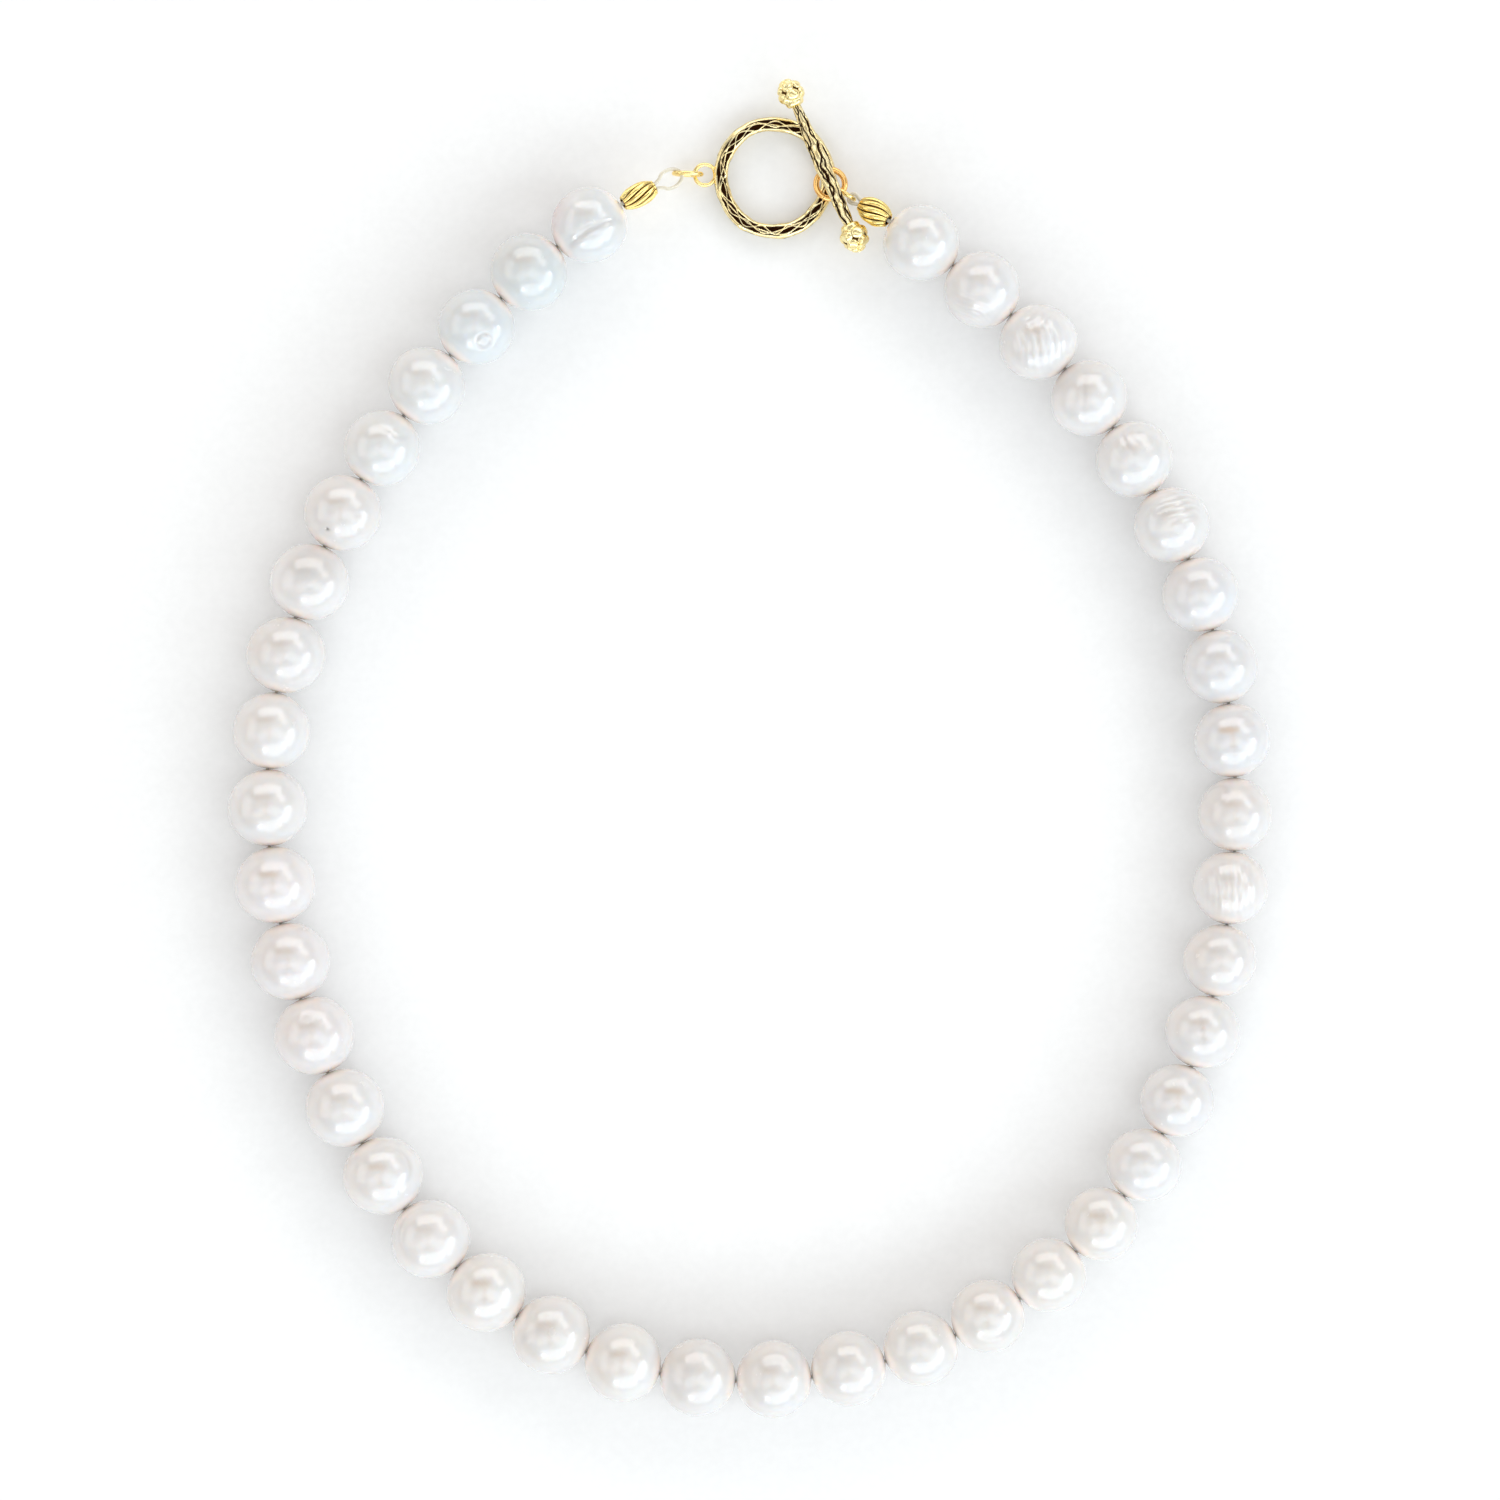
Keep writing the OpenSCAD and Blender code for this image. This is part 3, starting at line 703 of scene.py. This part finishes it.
def toggle_band():
    """The toggle ring's band: a bent twig with long ribs that cross and split, bright along both edges, with
    painted shade between the ribs.
    """
    rows, columns = 720, 72
    f = np.linspace(0, 2 * math.pi, rows, endpoint=False)[:, None]
    a = np.linspace(0, 2 * math.pi, columns, endpoint=False)[None, :]
    across = np.cos(a)
    rails = 0.6 * np.minimum(np.abs(across - 0.84), np.abs(across + 0.84)) + 0 * f
    ridges = [rails] + [
        np.abs(across - middle - swing * np.sin(turns * f + start + 0.7 * np.sin(3 * f + start)))
        for middle, swing, turns, start in RING_RIDGES
    ]
    rib = np.min(ridges, axis=0) / 0.16
    knots = np.exp(-((np.sin(4.5 * f + 0.8 * np.sin(a))) / 0.22) ** 2)
    wobble = 0.035 * np.sin(5 * f + 1.3) + 0.03 * np.sin(8 * f + 0.5) + 0.02 * np.sin(17 * f)
    swell = 1 + wobble + 0.05 * knots
    high = 0.1 * (1 - smooth_step(rib / 1.5))
    shape = np.sqrt((BAND_WIDE * np.cos(a)) ** 2 + (BAND_THICK * np.sin(a)) ** 2)
    radius = shape * swell - 0.075 + high
    out, lift = radius * np.cos(a), radius * np.sin(a)
    radial = np.stack([np.cos(f), np.sin(f), 0 * f], -1)
    centre_shift = 0.05 * np.sin(3 * f + 0.7) + 0.04 * np.sin(6 * f + 2.0)
    local = (RING_RADIUS + centre_shift + out)[..., None] * radial + lift[..., None] * UP
    # Painted shade in the hollows between the ribs and rails.
    crease = smooth_step((rib - 0.3) / 0.6)
    grain = (RING_RADIUS * 0.22 + out)[..., None] * radial + lift[..., None] * UP
    points = ring_middle + (local @ ring_matrix.T) * MM
    grid_piece("toggle_band", points, BARK_GOLD, "toggle_ring", "gold", ["toggle_ring"], (True, True),
               crease=crease, grain=grain)


def wire_loop(name, middle, axes, radius, wire, body, wobble):
    """A round wire ring in the plane of two axes, its wire a little uneven."""
    rows, columns = 120, 28
    f = np.linspace(0, 2 * math.pi, rows, endpoint=False)[:, None]
    a = np.linspace(0, 2 * math.pi, columns, endpoint=False)[None, :]
    first, second = axes
    third = np.cross(first, second)
    radial = np.cos(f)[..., None] * first + np.sin(f)[..., None] * second
    r = wire / 2 * (1 + wobble * np.sin(3 * f + 1) + wobble * np.sin(7 * f))
    points = middle + ((radius + r * np.cos(a))[..., None] * radial + (r * np.sin(a))[..., None] * third) * MM
    grid_piece(name, points, WIRE_GOLD, body, "gold", [body], (True, True))


EYE_RADIUS, EYE_WIRE, EYE_REACH = 1.3, 0.5, 8.75
toggle_band()
eye_axes = (ring_matrix @ np.array([1.0, 0, 0]), ring_matrix @ np.array([0, 1.0, 0]))
wire_loop("toggle_eye", ring_middle - eye_axes[0] * EYE_REACH * MM, eye_axes, EYE_RADIUS, EYE_WIRE,
          "toggle_ring", 0.06)


# ---------------------------------------------------------------- toggle bar

BAR_TURN = 114
BAR_UP, BAR_DOWN = 10.3, 8.9
BAR_RISE = 1.6
BAR_EYE_RADIUS, BAR_EYE_WIRE = 0.85, 0.6
LINK_RADIUS = 1.8
SHAFT_INSET = 0.3
# Swellings of the shaft: place along it and width.
KNOTS = ((3.4, 0.5), (-4.6, 0.45), (6.6, 0.4))
BUD_RADIUS, BUD_LONG, BUD_INSET = 1.56, 1.2, 0.12
PETALS = 5
# Rounds of petals, from the tip: middle and spread of the round, how many, how high.
PETAL_ROUNDS = (
    (0.25, 0.55, 3, 0.20), (0.85, 0.62, PETALS, 0.16), (1.55, 0.75, PETALS, 0.10), (2.35, 0.7, PETALS, 0.0)
)
bar_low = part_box("toggle_bar")[0]
bar_along = heading(BAR_TURN)
bar_beside = heading(BAR_TURN + 90)
bar_at = joint_point("toggle_bar_turn") + bar_along * LINK_RADIUS * MM
bar_at[2] = bar_low.z + (BAR_RISE + BAR_EYE_RADIUS + BAR_EYE_WIRE / 2) * MM


def bar_point(x, y, z):
    """Points along, beside and above the bar's middle line, in millimetres."""
    return bar_at + (x[..., None] * bar_along + y[..., None] * bar_beside + z[..., None] * UP) * MM


def ribs_between(*waves):
    """0 in the creases between ribs and 1 on their crests, from one or more crossing families."""
    return np.min([np.abs(np.sin(w / 2)) for w in waves], axis=0)


def toggle_shaft():
    """The bar's shaft: a bundle of bark ribs, thickest over the eye and thin at both ends."""
    rows, columns = 300, 56
    x = np.linspace(-BAR_DOWN + SHAFT_INSET, BAR_UP - SHAFT_INSET, rows)[:, None]
    a = np.linspace(0, 2 * math.pi, columns, endpoint=False)[None, :]
    up_share, down_share = np.clip(x / BAR_UP, 0, 1), np.clip(-x / BAR_DOWN, 0, 1)
    body = 1.04 - 0.60 * up_share**1.3 - 0.48 * down_share**1.2
    sway = 0.8 * np.sin(0.9 * x + 0.5) + 0.5 * np.sin(2.1 * x + 2.0) + 0.25 * np.sin(4.7 * x)
    counter = 0.7 * np.sin(1.2 * x + 1.1) + 0.4 * np.sin(2.9 * x)
    rib = ribs_between(6 * a + 1.3 * sway, 4 * a - 0.5 * x + 1.5 * counter)
    knot = sum(np.exp(-((x - at) / wide) ** 2) for at, wide in KNOTS)
    radius = body * (1 + 0.03 * np.sin(1.7 * x) + 0.10 * knot) - 0.11 + 0.13 * smooth_step(rib / 0.8)
    points = bar_point(x + 0 * a, radius * np.cos(a), radius * np.sin(a))
    # Painted shade in the creases between the ribs.
    crease = 1 - smooth_step(rib / 0.62)
    grain = np.stack([x * 0.3 + 0 * a, radius * np.cos(a), radius * np.sin(a)], -1)
    grid_piece("toggle_shaft", points, BARK_GOLD, "toggle_bar", "gold", ["toggle_bar"],
               crease=crease, grain=grain)


def rosebud(name, at, way, size):
    """A bud whose petals overlap in four rounds, each turned against the last, with a folded tip."""
    rows, columns = 90, 120
    p = np.linspace(0.02, math.pi - 0.02, rows)[:, None]
    q = np.linspace(0, 2 * math.pi, columns, endpoint=False)[None, :]
    height = -np.inf * np.ones((rows, columns))
    for k, (centre, spread, count, rise) in enumerate(PETAL_ROUNDS):
        turn = k * math.pi / count + 0.4 * k
        lobe = np.abs(np.cos(count / 2 * (q + turn)))
        height = np.maximum(height, rise * lobe**0.8 - 0.34 * ((p - centre) / spread) ** 2)
    seen = smooth_step((height + 0.07) / 0.2)
    curl = 0.05 * np.sin(PETALS * q + 5 * p)
    swell = 1.0 + 0.28 * (seen - 0.5) + curl * seen * 0.8
    radius = BUD_RADIUS * swell * size
    x = radius * np.cos(p) * BUD_LONG + 0 * q
    y, z = radius * np.sin(p) * np.cos(q), radius * np.sin(p) * np.sin(q)
    points = bar_point(at + way * x, y, way * z)
    # Painted shade in the hollows between the petals, fading on the half toward the shaft.
    crease = (1 - smooth_step(seen / 0.7)) * (1 - 0.9 * smooth_step((p - 1.6) / 0.4))
    grain = np.stack([x, y, z], -1)
    grid_piece(name, points, BUD_GOLD, "toggle_bar", "gold", ["toggle_bar"], crease=crease, grain=grain)


toggle_shaft()
rosebud("bud_upper", BAR_UP - BUD_INSET, 1, 1.0)
rosebud("bud_lower", -BAR_DOWN + BUD_INSET, -1, 1.06)
bar_eye_middle = bar_at - UP * BAR_RISE * MM
wire_loop("toggle_bar_eye", bar_eye_middle, (bar_along, UP), BAR_EYE_RADIUS, BAR_EYE_WIRE,
          "toggle_bar", 0.04)


# ---------------------------------------------------------------- carried-over wire and tubes

for node, material in (
    ("jump_ring_left", WIRE_GOLD), ("jump_ring_right", WIRE_GOLD), ("bar_link", ROSE_GOLD),
    ("crimp_tube_left", TUBE_GOLD), ("crimp_tube_right", TUBE_GOLD),
):
    kept = frame["nodes"][node]
    kept.data.materials.clear()
    kept.data.materials.append(material)


# ---------------------------------------------------------------- floor

FLOOR_HALF = 1.5
floor_mesh = bpy.data.meshes.new("floor")
floor_mesh.from_pydata(
    [(x * FLOOR_HALF, y * FLOOR_HALF, 0) for x, y in ((-1, -1), (1, -1), (1, 1), (-1, 1))], [], [(0, 1, 2, 3)]
)
floor_mesh.materials.append(floor_material())
floor = bpy.data.objects.new("floor", floor_mesh)
bpy.context.scene.collection.objects.link(floor)
